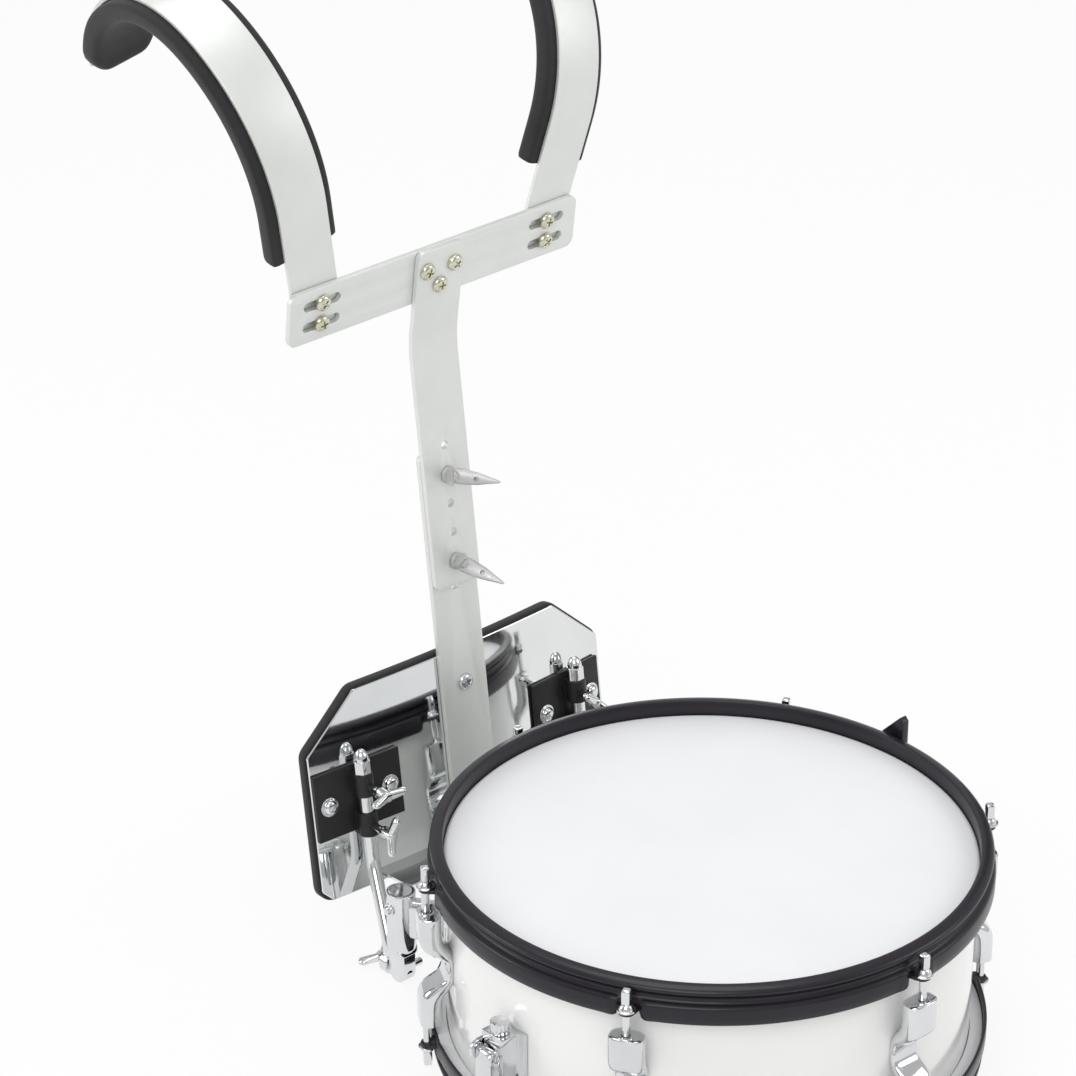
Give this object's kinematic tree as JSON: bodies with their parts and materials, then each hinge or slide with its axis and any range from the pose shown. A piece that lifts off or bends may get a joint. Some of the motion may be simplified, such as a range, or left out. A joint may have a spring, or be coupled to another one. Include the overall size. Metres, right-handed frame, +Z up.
{
  "type": "marching snare drum with shoulder carrier",
  "caption": "White high-tension marching snare drum with black hoops and chrome lugs, hung by bent rods on a shoulder carrier with belly plate, mast, crossbar and padded straps.",
  "frame": {"origin": "centre of the playing head's outer face", "axes": "+Z up along the drum's axis, +X along the carrier's crossbar, -Y away from the player, +Y towards the belly plate"},
  "size_m": [0.4003, 0.6617, 0.6895],
  "materials": {
    "shell": "gloss white lacquer",
    "head": "woven film, satin",
    "hoop": "black satin anodised",
    "chrome": "polished",
    "steel_wire": "bright",
    "satin_aluminium": "satin, extruded",
    "polished_aluminium": "mirror polish",
    "foam": "closed-cell foam with a fine skin",
    "black_metal": "black satin",
    "screw": "yellow zinc"
  },
  "bodies": {
    "drum": {"drum_shell": "shell", "batter_head": "head", "snare_head": "head", "top_hoop": "hoop", "bottom_hoop": "hoop", "lug_1": "chrome", "lug_2": "chrome", "lug_3": "chrome", "lug_4": "chrome", "lug_5": "chrome", "lug_6": "chrome", "top_tension_rod_1": "chrome", "top_tension_rod_2": "chrome", "top_tension_rod_3": "chrome", "top_tension_rod_4": "chrome", "top_tension_rod_5": "chrome", "top_tension_rod_6": "chrome", "bottom_tension_rod_1": "chrome", "bottom_tension_rod_2": "chrome", "bottom_tension_rod_3": "chrome", "bottom_tension_rod_4": "chrome", "bottom_tension_rod_5": "chrome", "bottom_tension_rod_6": "chrome", "snare_wires": "steel_wire", "strainer_body": "chrome", "butt_plate": "chrome", "hook_plate": "black_metal", "left_receiver": "chrome", "right_receiver": "chrome", "left_bent_rod": "chrome", "right_bent_rod": "chrome", "left_acorn_cap": "chrome", "right_acorn_cap": "chrome"},
    "strainer_lever": {"strainer_lever": "chrome"},
    "strainer_knob": {"strainer_knob": "chrome"},
    "carrier": {"belly_plate": "polished_aluminium", "belly_foam": "foam", "left_rod_clamp": "black_metal", "right_rod_clamp": "black_metal", "lower_mast": "satin_aluminium"},
    "mast_top": {"upper_mast": "satin_aluminium", "crossbar": "satin_aluminium"},
    "left_strap": {"left_shoulder_strap": "satin_aluminium", "left_shoulder_pad": "foam", "left_strap_screw_1": "screw", "left_strap_screw_2": "screw"},
    "right_strap": {"right_shoulder_strap": "satin_aluminium", "right_shoulder_pad": "foam", "right_strap_screw_1": "screw", "right_strap_screw_2": "screw"},
    "lower_mast_wing_bolt": {"lower_mast_wing_bolt": "chrome"},
    "upper_mast_wing_bolt": {"upper_mast_wing_bolt": "chrome"},
    "left_upper_sleeve_wing_bolt": {"left_upper_sleeve_wing_bolt": "chrome"},
    "left_lower_sleeve_wing_bolt": {"left_lower_sleeve_wing_bolt": "chrome"},
    "right_upper_sleeve_wing_bolt": {"right_upper_sleeve_wing_bolt": "chrome"},
    "right_lower_sleeve_wing_bolt": {"right_lower_sleeve_wing_bolt": "chrome"},
    "left_clamp_wing_bolt": {"left_clamp_wing_bolt": "chrome"},
    "right_clamp_wing_bolt": {"right_clamp_wing_bolt": "chrome"}
  },
  "joints": [
    {"name": "carrier_slide", "type": "slide", "parent": "drum", "child": "carrier", "axis": [0, 0.1289, 0.9917], "range_m": [-0.01, 0]},
    {"name": "mast_height", "type": "slide", "parent": "carrier", "child": "mast_top", "axis": [0, 0.1289, 0.9917], "range_m": [-0.018, 0.008]},
    {"name": "left_strap_slide", "type": "slide", "parent": "mast_top", "child": "left_strap", "axis": [0.9998, -0.0027, 0.019], "range_m": [-0.01, 0.01]},
    {"name": "right_strap_slide", "type": "slide", "parent": "mast_top", "child": "right_strap", "axis": [0.9998, -0.0027, 0.019], "range_m": [-0.01, 0.01]},
    {"name": "lower_mast_wing_bolt_turn", "type": "hinge", "parent": "mast_top", "child": "lower_mast_wing_bolt", "pos_m": [0, 0.25633, 0.11469], "axis": [0, -0.9917, 0.1289], "continuous": true},
    {"name": "upper_mast_wing_bolt_turn", "type": "hinge", "parent": "mast_top", "child": "upper_mast_wing_bolt", "pos_m": [0, 0.26461, 0.17836], "axis": [0, -0.9917, 0.1289], "continuous": true},
    {"name": "left_upper_sleeve_wing_bolt_turn", "type": "hinge", "parent": "carrier", "child": "left_upper_sleeve_wing_bolt", "pos_m": [-0.09949, 0.24097, -0.01894], "axis": [-0.1045, -0.9862, 0.1282], "continuous": true},
    {"name": "left_lower_sleeve_wing_bolt_turn", "type": "hinge", "parent": "carrier", "child": "left_lower_sleeve_wing_bolt", "pos_m": [-0.09949, 0.23711, -0.04869], "axis": [-0.1045, -0.9862, 0.1282], "continuous": true},
    {"name": "right_upper_sleeve_wing_bolt_turn", "type": "hinge", "parent": "carrier", "child": "right_upper_sleeve_wing_bolt", "pos_m": [0.09949, 0.24097, -0.01894], "axis": [-0.2419, -0.9622, 0.1251], "continuous": true},
    {"name": "right_lower_sleeve_wing_bolt_turn", "type": "hinge", "parent": "carrier", "child": "right_lower_sleeve_wing_bolt", "pos_m": [0.09949, 0.23711, -0.04869], "axis": [-0.2419, -0.9622, 0.1251], "continuous": true},
    {"name": "left_clamp_wing_bolt_turn", "type": "hinge", "parent": "drum", "child": "left_clamp_wing_bolt", "pos_m": [-0.11314, 0.20321, -0.1385], "axis": [0, 1, 0], "continuous": true},
    {"name": "right_clamp_wing_bolt_turn", "type": "hinge", "parent": "drum", "child": "right_clamp_wing_bolt", "pos_m": [0.11314, 0.20321, -0.1385], "axis": [0, 1, 0], "continuous": true},
    {"name": "strainer_lever_swing", "type": "hinge", "parent": "drum", "child": "strainer_lever", "pos_m": [-0.1981, 0, -0.074], "axis": [0, 1, 0], "range_deg": [0, 100]},
    {"name": "strainer_knob_turn", "type": "hinge", "parent": "drum", "child": "strainer_knob", "pos_m": [-0.1872, 0, -0.0617], "axis": [0, 0, 1], "continuous": true}
  ]
}
